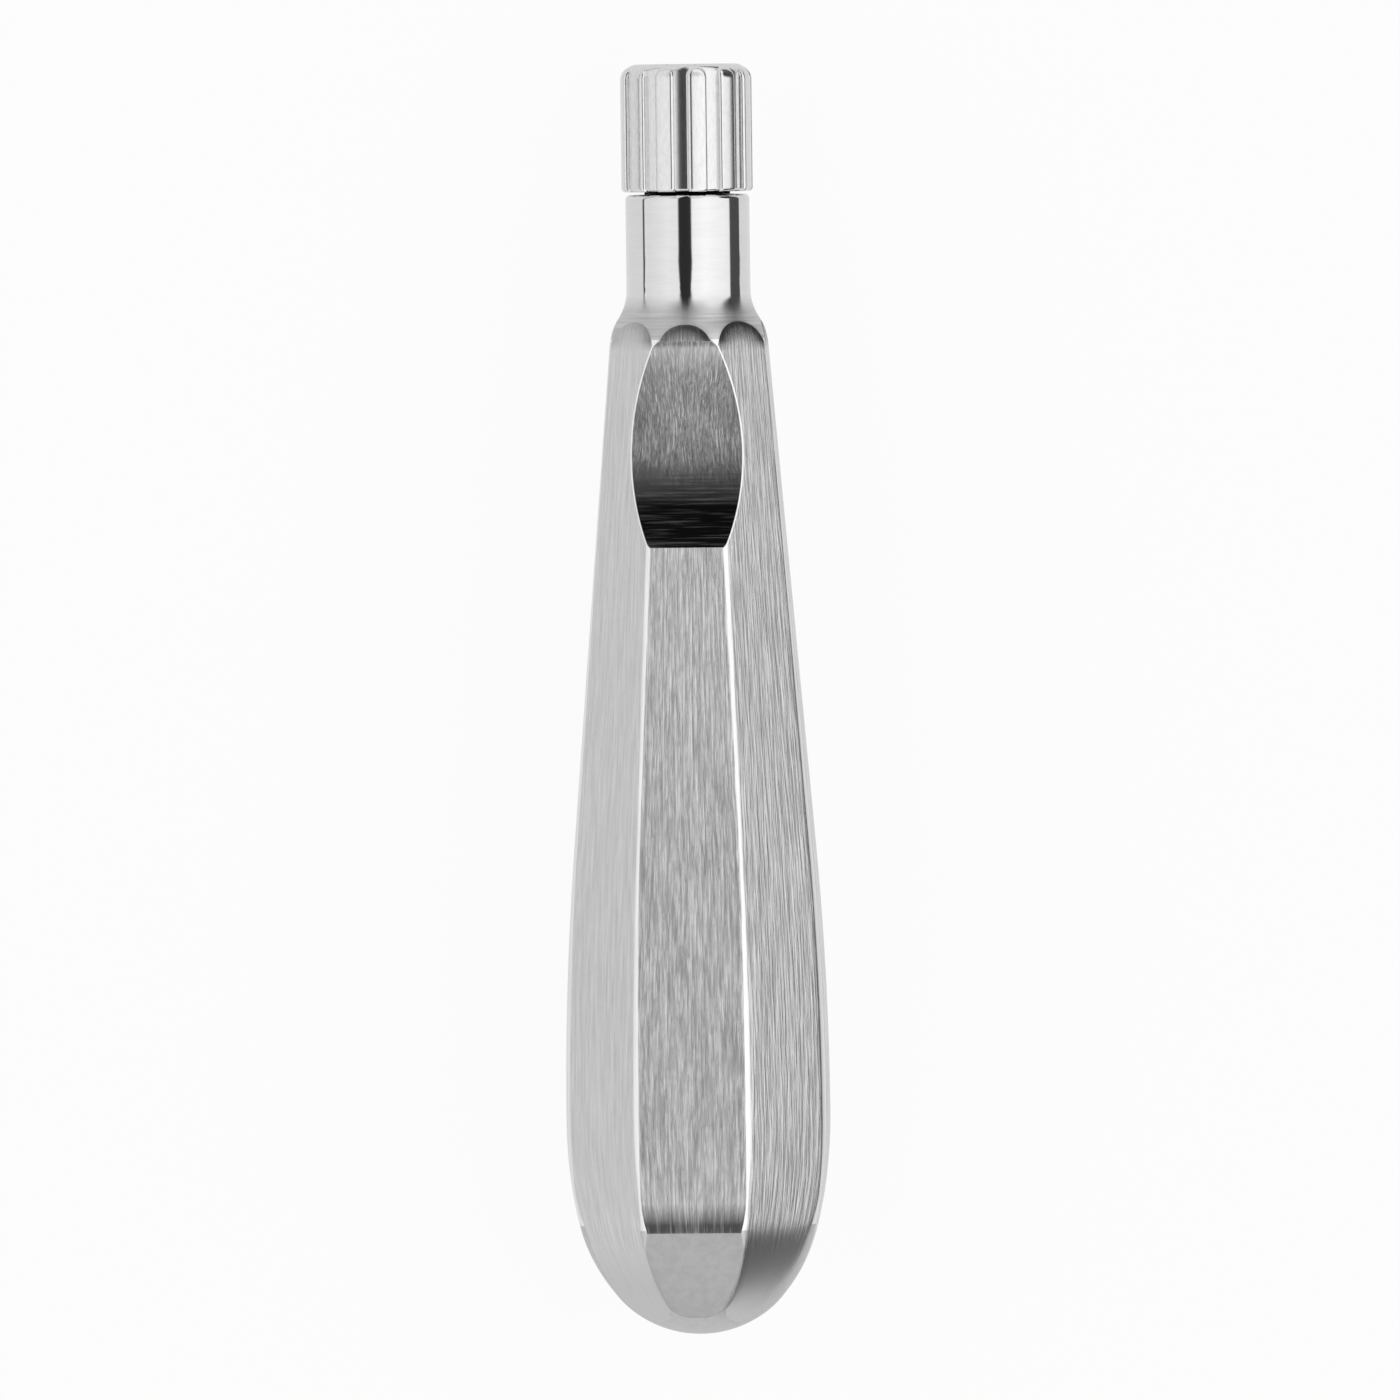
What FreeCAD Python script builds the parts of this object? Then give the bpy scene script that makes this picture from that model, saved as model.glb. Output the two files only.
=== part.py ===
import FreeCAD, Part
import math
import os

# Osteotome handle: an eight-sided pear grip ground from one turned steel bar, with a fluted nut
# that screws over its nose and closes a spring collet on the shank of a blade.
# Sizes are in millimetres. The long axis runs along +Y. A station is the distance from the butt
# along that axis, and a height is the distance from it. The thumb scoop faces +Z.

# Turned blank of the grip: its radii leave the narrow rounded corners between the facets.
body_length = 104.05
corner_half_width = 12.63
corner_flank_radius = 46.0
corner_flank_turn = 8.0
corner_heel_radius = 19.5
corner_heel_turn = 41.0
corner_belly_radius = 310.0
corner_taper = 5.15
shoulder_round = 1.2

# Neck and the flare between it and the shoulder.
neck_length = 10.35
neck_radius = 5.65
neck_rim_chamfer = 0.35
flare_radius = 4.8
flare_slope = 39.0

# Facets: eight long faces. The front and back ones are ground a little deeper at the belly.
facet_count = 8
flank_radius = 44.0
flank_turn = 13.5
heel_radius = 17.0
heel_turn = 55.0
side_half_width = 11.86
side_belly_radius = 300.0
side_taper = 4.68
face_half_width = 11.66
face_belly_radius = 300.0
face_taper = 4.25
facet_roll_setback = 2.3
facet_roll_radius = 3.0
facet_roll_slope = 20.0

# Thumb scoop across the front facet, set back from the neck, and the crowned flat at the butt,
# with its slope at its top edge.
scoop_setback = 10.6
scoop_depth = 1.85
scoop_radius = 24.0
butt_flat_top = 10.05
butt_flat_slope = 24.5
butt_flat_radius = 50.0

# Threaded nose with the collet's conical seat, and the blind hole for the shank's end.
nose_length = 8.15
nose_root_radius = 4.05
nose_tip_chamfer = 0.4
nose_undercut_length = 0.8
nose_undercut_depth = 0.15
shank_radius = 2.0
shank_clearance = 0.25
shank_hole_depth = 14.0
drill_point_angle = 118.0

# Collet.
collet_length = 9.4
collet_radius = 3.5
collet_taper = 8.0
collet_collar = 0.3
collet_groove_width = 1.0
collet_groove_radius = 2.95
collet_land = 0.37
collet_front_radius = 2.85
collet_front_slope = 30.0
collet_slots = 4
collet_slot_width = 0.4
collet_slot_bridge = 1.6
seat_gap = 0.03

# Fluted nut.
nut_gap = 0.25
nut_length = 11.6
nut_radius = 6.0
nut_rim_round = 1.45
nut_foot_chamfer = 0.3
flute_count = 12
nut_rest_turn = -2.0
flute_floor_radius = 5.45
flute_rim_chamfer = 0.8
flute_foot_chamfer = 0.35
rib_width = 1.9
rib_root_depth = 0.6
rib_nose_drop = 0.28
rib_edge_round = 0.28
nut_bore_radius = 4.55
nut_bore_chamfer = 0.3
nut_mouth_chamfer = 0.3
collet_recess = 0.5
lip_clearance = 0.06
lip_offset = 0.3

# How far a cutting shape runs past the surface that it cuts.
overcut = 1.0

long_axis = FreeCAD.Vector(0, 1, 0)
neck_start = body_length - neck_length
nose_station = body_length + nose_length


def at(station, height):
    return FreeCAD.Vector(0, station, height)


def arc(centre, start, end):
    radius = (start - centre).Length
    middle = centre + ((start - centre) + (end - centre)).normalize() * radius
    return Part.Arc(start, middle, end).toShape()


def line(start, end):
    return Part.makeLine(start, end)


# A run of straight lines through corner points, each corner rounded by its own radius.
def rounded_lines(start, corners, end):
    edges = []
    points = [start] + [corner for corner, radius in corners] + [end]
    here = start
    for index, (corner, radius) in enumerate(corners):
        back = (points[index] - corner).normalize()
        ahead = (points[index + 2] - corner).normalize()
        if radius == 0:
            edges.append(line(here, corner))
            here = corner
            continue
        half_angle = back.getAngle(ahead) / 2
        reach = radius / math.tan(half_angle)
        centre = corner + (back + ahead).normalize() * (radius / math.sin(half_angle))
        first = corner + back * reach
        last = corner + ahead * reach
        edges.append(line(here, first))
        edges.append(arc(centre, first, last))
        here = last
    edges.append(line(here, end))
    return edges


def tapered(radius, angle, distance):
    return radius - distance * math.tan(math.radians(angle))


def revolved(edges, sweep=360.0):
    return Part.Face(Part.Wire(edges)).revolve(FreeCAD.Vector(), long_axis, sweep)


# A turned body made of equal sectors, so that each rounded corner or rib keeps its own faces.
def ring_of_sectors(sector, count):
    copies = []
    for index in range(1, count):
        copy = sector.copy()
        copy.rotate(FreeCAD.Vector(), long_axis, 360 * index / count)
        copies.append(copy)
    return sector.multiFuse(copies)


def revolved_outline(points):
    corners = [at(station, height) for station, height in points]
    return revolved(Part.makePolygon(corners + corners[:1]).Edges)


# Point at a distance from a centre, where a line square to the outline has turned by an angle
# from straight outward toward the butt.
def outward(centre, radius, turn):
    angle = math.radians(turn)
    return centre + at(-math.sin(angle), math.cos(angle)) * radius


# Pear outline as tangent arcs: heel, flank, then belly up to the start of the straight taper.
def pear_outline(widest, flank, flank_angle, heel, heel_angle, belly, taper):
    flank_centre = widest - at(0, flank)
    heel_end = outward(flank_centre, flank, flank_angle)
    heel_middle = outward(flank_centre, flank - heel, flank_angle)
    heel_start = outward(heel_middle, heel, heel_angle)
    belly_centre = widest - at(0, belly)
    taper_start = outward(belly_centre, belly, -taper)
    edges = [
        arc(heel_middle, heel_start, heel_end),
        arc(flank_centre, heel_end, widest),
        arc(belly_centre, widest, taper_start),
    ]
    return edges, heel_middle, heel_start, taper_start


def facet_outline(half_width, belly, taper):
    widest = at(widest_station, half_width)
    return pear_outline(widest, flank_radius, flank_turn, heel_radius, heel_turn, belly, taper)


# Station of the widest point and radius of the butt arc, from the heel arc that it runs into.
def butt_sizes():
    turn = math.radians(corner_heel_turn)
    flank_angle = math.radians(corner_flank_turn)
    run = corner_flank_radius - corner_heel_radius
    heel_height = corner_half_width - corner_flank_radius + run * math.cos(flank_angle)
    radius = corner_heel_radius + heel_height / math.cos(turn)
    back = run * math.sin(flank_angle) + (corner_heel_radius - radius) * math.sin(turn)
    return radius + back, radius


def arc_height(centre, radius, station):
    return centre.z + math.sqrt(radius ** 2 - (station - centre.y) ** 2)


# Point where a line through one point, falling toward the nose, reaches a station.
def down_to(start, angle, station):
    return at(station, tapered(start.z, angle, station - start.y))


widest_station, butt_radius = butt_sizes()


def turned_blank():
    outline, heel_middle, heel_start, taper_start = pear_outline(
        at(widest_station, corner_half_width), corner_flank_radius, corner_flank_turn,
        corner_heel_radius, corner_heel_turn, corner_belly_radius, corner_taper)
    pole = at(0, 0)
    edges = [arc(at(butt_radius, 0), pole, heel_start)] + outline
    flare_corner = at(neck_start, neck_radius)
    flare_rise = math.tan(math.radians(flare_slope))
    taper_fall = math.tan(math.radians(corner_taper))
    height_left = taper_start.z - neck_radius - (flare_corner.y - taper_start.y) * taper_fall
    shoulder_station = flare_corner.y - height_left / (flare_rise - taper_fall)
    shoulder = down_to(taper_start, corner_taper, shoulder_station)
    corners = [
        (shoulder, shoulder_round),
        (flare_corner, flare_radius),
        (at(body_length - neck_rim_chamfer, neck_radius), 0),
        (at(body_length, neck_radius - neck_rim_chamfer), 0),
    ]
    edges += rounded_lines(taper_start, corners, at(body_length, 0))
    edges.append(line(at(body_length, 0), pole))
    return ring_of_sectors(revolved(edges, sweep=360 / facet_count), facet_count)


# Solid under one facet: its outline drawn across the whole width of the blank.
def facet_tool(half_width, belly, taper):
    edges, heel_middle, heel_start, taper_start = facet_outline(half_width, belly, taper)
    roll = down_to(taper_start, taper, neck_start - facet_roll_setback)
    roll_end = down_to(roll, facet_roll_slope, neck_start)
    far = 2 * corner_half_width
    edges += rounded_lines(taper_start, [(roll, facet_roll_radius)], roll_end)
    ring = [
        roll_end,
        at(neck_start, far),
        at(nose_station, far),
        at(nose_station, -far),
        at(-far, -far),
        at(-far, heel_start.z),
        heel_start,
    ]
    edges += [line(first, last) for first, last in zip(ring, ring[1:])]
    outline = Part.Face(Part.Wire(edges))
    outline.translate(FreeCAD.Vector(-far, 0, 0))
    return outline.extrude(FreeCAD.Vector(2 * far, 0, 0))


def octagonal_body():
    body = turned_blank()
    face_tool = facet_tool(face_half_width, face_belly_radius, face_taper)
    side_tool = facet_tool(side_half_width, side_belly_radius, side_taper)
    for index in range(facet_count):
        is_face = index in (0, facet_count // 2)
        tool = (face_tool if is_face else side_tool).copy()
        tool.rotate(FreeCAD.Vector(), long_axis, 360 * index / facet_count)
        body = body.common(tool)
    return body


def scoop_tool():
    edges, heel_middle, heel_start, taper_start = facet_outline(
        face_half_width, face_belly_radius, face_taper)
    station = neck_start - scoop_setback
    floor = down_to(taper_start, face_taper, station).z - scoop_depth
    width = 4 * corner_half_width
    start = FreeCAD.Vector(-width / 2, station, floor + scoop_radius)
    return Part.makeCylinder(scoop_radius, width, start, FreeCAD.Vector(1, 0, 0))


def butt_flat_tool():
    edges, heel_middle, heel_start, taper_start = facet_outline(
        face_half_width, face_belly_radius, face_taper)
    top_edge = at(butt_flat_top, arc_height(heel_middle, heel_radius, butt_flat_top))
    middle = outward(top_edge, -butt_flat_radius, butt_flat_slope)
    width = 4 * corner_half_width
    block = Part.makeBox(width, middle.y + overcut, width, FreeCAD.Vector(-width / 2, -overcut, 0))
    start = FreeCAD.Vector(-width, middle.y, middle.z)
    crown = Part.makeCylinder(butt_flat_radius, 2 * width, start, FreeCAD.Vector(1, 0, 0))
    return block.cut(crown)


def nose():
    undercut_radius = nose_root_radius - nose_undercut_depth
    undercut_end = body_length + nose_undercut_length
    return revolved_outline([
        (body_length - overcut, 0),
        (body_length - overcut, undercut_radius),
        (undercut_end, undercut_radius),
        (undercut_end + nose_undercut_depth, nose_root_radius),
        (nose_station - nose_tip_chamfer, nose_root_radius),
        (nose_station, nose_root_radius - nose_tip_chamfer),
        (nose_station, 0),
    ])


# Stations of the nut and of the collet that it holds, all taken from the body's front face.
nut_foot = body_length + nut_gap
nut_top = nut_foot + nut_length
collet_front = nut_top - collet_recess
collet_back = collet_front - collet_length
cone_length = (collet_radius - collet_front_radius) / math.tan(math.radians(collet_front_slope))
groove_front = collet_front - cone_length - collet_land
groove_back = groove_front - collet_groove_width
taper_top = groove_back - collet_collar
seat_spread = seat_gap / math.cos(math.radians(collet_taper))


def seat_radius(station):
    return tapered(collet_radius, collet_taper, taper_top - station) + seat_spread


def nose_hollow():
    hole_radius = shank_radius + shank_clearance
    seat_bottom = collet_back - seat_gap
    hole_bottom = seat_bottom - shank_hole_depth
    drill_tip = hole_bottom - hole_radius / math.tan(math.radians(drill_point_angle / 2))
    past_mouth = nose_station + overcut
    return revolved_outline([
        (drill_tip, 0),
        (hole_bottom, hole_radius),
        (seat_bottom, hole_radius),
        (seat_bottom, seat_radius(seat_bottom)),
        (past_mouth, seat_radius(past_mouth)),
        (past_mouth, 0),
    ])


def handle_body():
    body = octagonal_body()
    body = body.cut(scoop_tool()).cut(butt_flat_tool())
    return body.fuse(nose()).cut(nose_hollow())


def slot(start, end, angle):
    length = end - start
    cutter = Part.makeBox(2 * collet_radius, length, collet_slot_width,
                          FreeCAD.Vector(0, start, -collet_slot_width / 2))
    cutter.rotate(FreeCAD.Vector(), long_axis, angle)
    return cutter


def collet():
    turned = revolved_outline([
        (collet_back, shank_radius),
        (collet_back, tapered(collet_radius, collet_taper, taper_top - collet_back)),
        (taper_top, collet_radius),
        (groove_back, collet_radius),
        (groove_back, collet_groove_radius),
        (groove_front, collet_groove_radius),
        (groove_front, collet_radius),
        (groove_front + collet_land, collet_radius),
        (collet_front, collet_front_radius),
        (collet_front, shank_radius),
    ])
    pitch = 360 / collet_slots
    for index in range(collet_slots):
        from_front = slot(collet_back + collet_slot_bridge, collet_front + overcut,
                          pitch * index)
        from_back = slot(collet_back - overcut, collet_front - collet_slot_bridge,
                         pitch * (index + 0.5))
        turned = turned.cut(from_front).cut(from_back)
    return turned


# A sector of the nut's turned core, centred on +Z.
def nut_core_sector():
    corners = [
        (at(nut_foot, flute_floor_radius - flute_foot_chamfer), 0),
        (at(nut_foot + flute_foot_chamfer, flute_floor_radius), 0),
        (at(nut_top - flute_rim_chamfer, flute_floor_radius), 0),
        (at(nut_top, flute_floor_radius - flute_rim_chamfer), 0),
    ]
    edges = rounded_lines(at(nut_foot, 0), corners, at(nut_top, 0))
    edges.append(line(at(nut_top, 0), at(nut_foot, 0)))
    sweep = 360 / flute_count
    sector = revolved(edges, sweep=sweep)
    sector.rotate(FreeCAD.Vector(), long_axis, -sweep / 2)
    return sector


# Side view of one rib, drawn across its width: chamfered foot, straight crest, rounded rim.
def rib_side_view():
    corners = [
        (at(nut_foot, nut_radius - nut_foot_chamfer), 0),
        (at(nut_foot + nut_foot_chamfer, nut_radius), 0),
        (at(nut_top, nut_radius), nut_rim_round),
    ]
    edges = rounded_lines(at(nut_foot, 0), corners, at(nut_top, 0))
    edges.append(line(at(nut_top, 0), at(nut_foot, 0)))
    outline = Part.Face(Part.Wire(edges))
    outline.translate(FreeCAD.Vector(-rib_width, 0, 0))
    return outline.extrude(FreeCAD.Vector(2 * rib_width, 0, 0))


# Front view of one rib: straight flanks that end in a round nose.
def rib_front_view():
    half = rib_width / 2
    nose_centre = nut_top - rib_nose_drop - half
    flanks = Part.makeBox(rib_width, nose_centre - nut_foot, 2 * nut_radius,
                          FreeCAD.Vector(-half, nut_foot, 0))
    nose_outline = Part.makeCylinder(half, 2 * nut_radius, at(nose_centre, 0), FreeCAD.Vector(0, 0, 1))
    return flanks.fuse(nose_outline)


def rib():
    root = flute_floor_radius - rib_root_depth
    bar = Part.makeBox(rib_width, nut_length, nut_radius - root,
                       FreeCAD.Vector(-rib_width / 2, nut_foot, root))
    long_edges = [edge for edge in bar.Edges
                  if edge.BoundBox.ZMin > root and edge.BoundBox.YLength > rib_width]
    bar = bar.makeFillet(rib_edge_round, long_edges)
    return bar.common(rib_front_view()).common(rib_side_view())


def nut_hollow():
    lip_back = groove_back + lip_clearance
    lip_front = groove_front - lip_clearance
    lip_hole_radius = collet_groove_radius + lip_offset + lip_clearance
    chamber_radius = collet_radius + lip_clearance
    cone_gap = seat_gap / math.sin(math.radians(collet_front_slope))
    cone_start = collet_front - cone_length + cone_gap
    cone_start -= lip_clearance / math.tan(math.radians(collet_front_slope))
    front_radius = tapered(chamber_radius, collet_front_slope, collet_front - cone_start)
    bore = revolved_outline([
        (nut_foot - overcut, 0),
        (nut_foot - overcut, nut_bore_radius + nut_bore_chamfer),
        (nut_foot, nut_bore_radius + nut_bore_chamfer),
        (nut_foot + nut_bore_chamfer, nut_bore_radius),
        (lip_back, nut_bore_radius),
        (lip_back, 0),
    ])
    front = revolved_outline([
        (lip_front, 0),
        (lip_front, chamber_radius),
        (cone_start, chamber_radius),
        (collet_front, front_radius),
        (nut_top - nut_mouth_chamfer, front_radius),
        (nut_top, front_radius + nut_mouth_chamfer),
        (nut_top + overcut, front_radius + nut_mouth_chamfer),
        (nut_top + overcut, 0),
    ])
    lip_hole = Part.makeCylinder(lip_hole_radius, lip_front - lip_back,
                                 at(lip_back, lip_offset), long_axis)
    return bore, front, lip_hole


def clamp_nut():
    sector = nut_core_sector().fuse(rib())
    sector.rotate(FreeCAD.Vector(), long_axis, 180 / flute_count + nut_rest_turn)
    nut = ring_of_sectors(sector, flute_count)
    for cutter in nut_hollow():
        nut = nut.cut(cutter)
    return nut


def main():
    os.makedirs("parts", exist_ok=True)
    # The handle lies on its back facet, with the middle of its length over the origin.
    to_frame = FreeCAD.Vector(0, -nut_top / 2, face_half_width)
    pieces = {"handle_body": handle_body(), "collet": collet(), "clamp_nut": clamp_nut()}
    for name, shape in pieces.items():
        shape.translate(to_frame)
        box = shape.BoundBox
        print(name, "solids", len(shape.Solids), "valid", shape.isValid(),
              "volume", round(shape.Volume, 1), "faces", len(shape.Faces),
              "box", [round(value, 2) for value in
                      (box.XMin, box.XMax, box.YMin, box.YMax, box.ZMin, box.ZMax)])
        shape.exportStep("parts/" + name + ".step")


main()
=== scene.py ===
import bpy
import math
import numpy as np
from mathutils import Matrix, Vector


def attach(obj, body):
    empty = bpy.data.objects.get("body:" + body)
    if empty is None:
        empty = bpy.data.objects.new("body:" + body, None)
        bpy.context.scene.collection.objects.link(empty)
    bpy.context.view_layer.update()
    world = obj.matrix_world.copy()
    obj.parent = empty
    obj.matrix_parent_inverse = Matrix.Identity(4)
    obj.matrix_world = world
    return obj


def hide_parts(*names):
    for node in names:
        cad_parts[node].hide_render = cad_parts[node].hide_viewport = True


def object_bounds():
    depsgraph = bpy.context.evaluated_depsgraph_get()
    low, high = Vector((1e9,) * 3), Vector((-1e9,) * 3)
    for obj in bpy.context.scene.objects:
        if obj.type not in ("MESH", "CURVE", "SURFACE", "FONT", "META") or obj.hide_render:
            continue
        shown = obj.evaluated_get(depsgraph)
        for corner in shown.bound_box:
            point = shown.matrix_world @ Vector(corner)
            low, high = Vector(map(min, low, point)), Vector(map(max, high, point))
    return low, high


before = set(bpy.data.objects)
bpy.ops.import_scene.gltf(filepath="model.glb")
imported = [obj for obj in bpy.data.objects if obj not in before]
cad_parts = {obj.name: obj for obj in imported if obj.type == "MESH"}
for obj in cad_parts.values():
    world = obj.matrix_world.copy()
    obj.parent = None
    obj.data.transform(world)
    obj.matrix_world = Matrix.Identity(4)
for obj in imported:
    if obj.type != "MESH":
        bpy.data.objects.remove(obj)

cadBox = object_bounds()

mm = 0.001
buttY = -57.95      # where the tip of the butt lies, in mm
axisZ = 11.66       # height of the long axis over the surface under the handle, in mm
eighth = math.radians(45)
weldGap = 0.0008 * mm
arcSteps = 24       # points along one rounded corner of an outline


def deselectAll():
    if bpy.context.object and bpy.context.object.mode != "OBJECT":
        bpy.ops.object.mode_set(mode="OBJECT")
    bpy.ops.object.select_all(action="DESELECT")


def smoothLess(a, b, blend):
    # the smaller of two heights, with the edge between them rounded over
    near = np.maximum(blend - np.abs(a - b), 0) / blend
    return np.minimum(a, b) - near * near * blend / 4


def smoothMore(a, b, blend):
    return -smoothLess(-a, -b, blend)


def outward(centre, radius, turn):
    # point at a distance from a centre, turned in degrees from straight out toward the butt
    angle = np.radians(turn)
    return centre[0] - np.sin(angle) * radius, centre[1] + np.cos(angle) * radius


def roundedCorners(points):
    # straight lines through (station, height, radius) corners, each rounded by its radius
    line = [points[0][:2]]
    for before, corner, after in zip(points, points[1:], points[2:]):
        here = np.array(corner[:2])
        back = np.array(before[:2]) - here
        ahead = np.array(after[:2]) - here
        back = back / np.linalg.norm(back)
        ahead = ahead / np.linalg.norm(ahead)
        half = math.acos(float(np.dot(back, ahead))) / 2
        first = here + back * corner[2] / math.tan(half)
        last = here + ahead * corner[2] / math.tan(half)
        bisector = (back + ahead) / np.linalg.norm(back + ahead)
        middle = here + bisector * corner[2] / math.sin(half)
        for share in np.linspace(0, 1, arcSteps):
            spoke = first - middle + (last - first) * share
            line.append(tuple(middle + spoke / np.linalg.norm(spoke) * corner[2]))
    return line + [points[-1][:2]]


def gridSkin(name, rings):
    # a flat grid takes the shape of the rings, one row each, and is welded where rows or ends meet
    rows, columns = rings.shape[:2]
    deselectAll()
    bpy.ops.mesh.primitive_grid_add(x_subdivisions=columns - 1, y_subdivisions=rows - 1, size=2)
    skin = bpy.context.object
    skin.name = name
    skin.data.name = name
    spots = np.empty(rows * columns * 3, dtype=np.float32)
    skin.data.vertices.foreach_get("co", spots)
    spots = spots.reshape(-1, 3)
    column = np.rint((spots[:, 0] + 1) / 2 * (columns - 1)).astype(int)
    row = np.rint((spots[:, 1] + 1) / 2 * (rows - 1)).astype(int)
    skin.data.vertices.foreach_set("co", (rings[row, column] * mm).astype(np.float32).ravel())
    bpy.ops.object.mode_set(mode="EDIT")
    bpy.ops.mesh.select_all(action="SELECT")
    bpy.ops.mesh.remove_doubles(threshold=weldGap)
    bpy.ops.mesh.select_all(action="SELECT")
    bpy.ops.mesh.normals_make_consistent(inside=False)
    bpy.ops.object.mode_set(mode="OBJECT")
    bpy.ops.object.shade_smooth()
    return skin


def polar(angles, radii, station, lift=0.0):
    # points of one ring round the long axis, in mm, in the row's frame
    radii = np.broadcast_to(radii, angles.shape)
    return np.stack([radii * np.sin(angles), np.full(angles.shape, station + buttY),
                     radii * np.cos(angles) + axisZ + lift], axis=-1)


# The grip: a turned pear with eight ground facets, sizes in mm

grip = {
    "length": 104.05, "widest": 19.94, "buttRadius": 10.06,
    "neckLength": 10.35, "neckRadius": 5.65, "rimRound": 0.45,
    "flareRadius": 4.8, "flareSlope": 39, "shoulderRound": 4.2,
    # half widths and radii of the outline's arcs, and the turns in degrees at which they meet
    "corner": {"half": 12.63, "flank": 46, "flankTurn": 8.0, "heel": 19.5, "heelTurn": 41.0,
               "belly": 290, "taper": 4.9},
    "side": {"half": 11.86, "flank": 44, "flankTurn": 13.5, "heel": 17, "heelTurn": 55.0,
             "belly": 300, "taper": 4.68, "rollSlope": 18.4},
    "face": {"half": 11.66, "flank": 44, "flankTurn": 13.5, "heel": 17, "heelTurn": 55.0,
             "belly": 300, "taper": 4.25, "rollSlope": 21.0},
    "rollSetback": 2.45, "rollRadius": 8.0,
    "scoopSetback": 10.6, "scoopDepth": 1.85, "scoopRadius": 24, "scoopReach": 20,
    "flat": {"top": 10.05, "slope": 24.5, "radius": 50},
    "heelFlat": {"top": 9.7, "slope": 22, "radius": 24.6},
    # how widely edges are rounded: along the facets, across the front one, and where it is softer
    "edgeBlend": 0.095, "crossBlend": 0.05, "archBlend": 0.28, "heelBlend": 0.5, "heelFlatBlend": 0.3,
    "archStations": [84, 89], "heelStations": [4, 9],
    # columns of a facet and a corner, the least width of each, in degrees by station and in mm
    "flatColumns": 14, "cornerColumns": 8,
    "spreadStations": [0, 3.5, 95, 98], "spread": [14, 3, 3, 14], "leastCorner": 0.3, "leastRadius": 3,
    # steps of the outline's arcs, and rows of the mesh, as (from, to, how many) along the grip
    "heelSteps": 60, "flankSteps": 40, "bellySteps": 60, "domeSteps": 120,
    "rows": [(3.6, 9.3, 26), (9.3, 10.3, 17), (10.3, 20, 22), (20, 71.6, 46), (71.6, 72.8, 19),
             (72.8, 89.4, 44), (89.4, 91.4, 24), (91.4, 95.6, 50)],
    "domeRows": 26, "neckRows": 8, "rimRows": 9,
}
neckStart = grip["length"] - grip["neckLength"]


def pearLine(shape):
    # heel, flank and belly arcs up to the start of the straight taper
    top = grip["widest"]
    flankCentre = (top, shape["half"] - shape["flank"])
    heelCentre = outward(flankCentre, shape["flank"] - shape["heel"], shape["flankTurn"])
    bellyCentre = (top, shape["half"] - shape["belly"])
    line = [outward(heelCentre, shape["heel"], turn)
            for turn in np.linspace(shape["heelTurn"], shape["flankTurn"], grip["heelSteps"])]
    line += [outward(flankCentre, shape["flank"], turn)
             for turn in np.linspace(shape["flankTurn"], 0, grip["flankSteps"])]
    line += [outward(bellyCentre, shape["belly"], -turn)
             for turn in np.linspace(0, shape["taper"], grip["bellySteps"])]
    return line


def downTo(start, slope, station):
    return station, start[1] - (station - start[0]) * math.tan(math.radians(slope))


def blankLine():
    shape = grip["corner"]
    line = [outward((grip["buttRadius"], 0), grip["buttRadius"], turn)
            for turn in np.linspace(90, shape["heelTurn"], grip["domeSteps"])]
    line += pearLine(shape)
    start = line[-1]
    rise = math.tan(math.radians(grip["flareSlope"]))
    fall = math.tan(math.radians(shape["taper"]))
    left = start[1] - grip["neckRadius"] - (neckStart - start[0]) * fall
    shoulder = downTo(start, shape["taper"], neckStart - left / (rise - fall))
    corners = [start + (0,), shoulder + (grip["shoulderRound"],),
               (neckStart, grip["neckRadius"], grip["flareRadius"]),
               (grip["length"], grip["neckRadius"], 0)]
    return np.array(line + roundedCorners(corners)[1:])


def facetLine(shape):
    line = pearLine(shape)
    start = line[-1]
    roll = downTo(start, shape["taper"], neckStart - grip["rollSetback"])
    end = downTo(roll, shape["rollSlope"], neckStart)
    line += roundedCorners([start + (0,), roll + (grip["rollRadius"],), end + (0,)])[1:]
    # a facet has no end at the butt, and past the roll it stands clear of the neck
    return np.array([(-50, line[0][1])] + line + [(neckStart + 0.01, 30)])


blank = blankLine()
sideFacet = facetLine(grip["side"])
faceFacet = facetLine(grip["face"])


def heightOn(line, station):
    return float(np.interp(station, line[:, 0], line[:, 1]))


scoopStation = neckStart - grip["scoopSetback"]
scoopCentre = heightOn(faceFacet, scoopStation) - grip["scoopDepth"] + grip["scoopRadius"]
flatMiddle = outward((grip["flat"]["top"], heightOn(faceFacet, grip["flat"]["top"])),
                     -grip["flat"]["radius"], grip["flat"]["slope"])
heelMiddle = outward((grip["heelFlat"]["top"], heightOn(sideFacet, grip["heelFlat"]["top"])),
                     -grip["heelFlat"]["radius"], grip["heelFlat"]["slope"])


def scoopFloor(station):
    # past its reach the scoop stays high over the facet
    reach = np.minimum(np.abs(station - scoopStation), grip["scoopReach"])
    return scoopCentre - np.sqrt(grip["scoopRadius"] ** 2 - reach ** 2)


def crowned(station, middle, radius):
    # a slightly crowned flat, which falls toward the butt
    reach = np.clip(middle[0] - station, 0, radius)
    return middle[1] + np.sqrt(radius ** 2 - reach ** 2)


def buttFlat(station):
    return crowned(station, flatMiddle, grip["flat"]["radius"])


def heelFlat(station):
    # the facets beside the front one turn down the same way at the butt
    return crowned(station, heelMiddle, grip["heelFlat"]["radius"])


def facetReach(angles, index, height):
    # distance from the long axis to a facet's plane, and far out on the side that it doesn't face
    leastSlant, farOut = 0.3, 99
    slant = np.cos(angles - index * eighth)
    return np.where(slant > leastSlant, height / np.maximum(slant, leastSlant), farOut)


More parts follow.
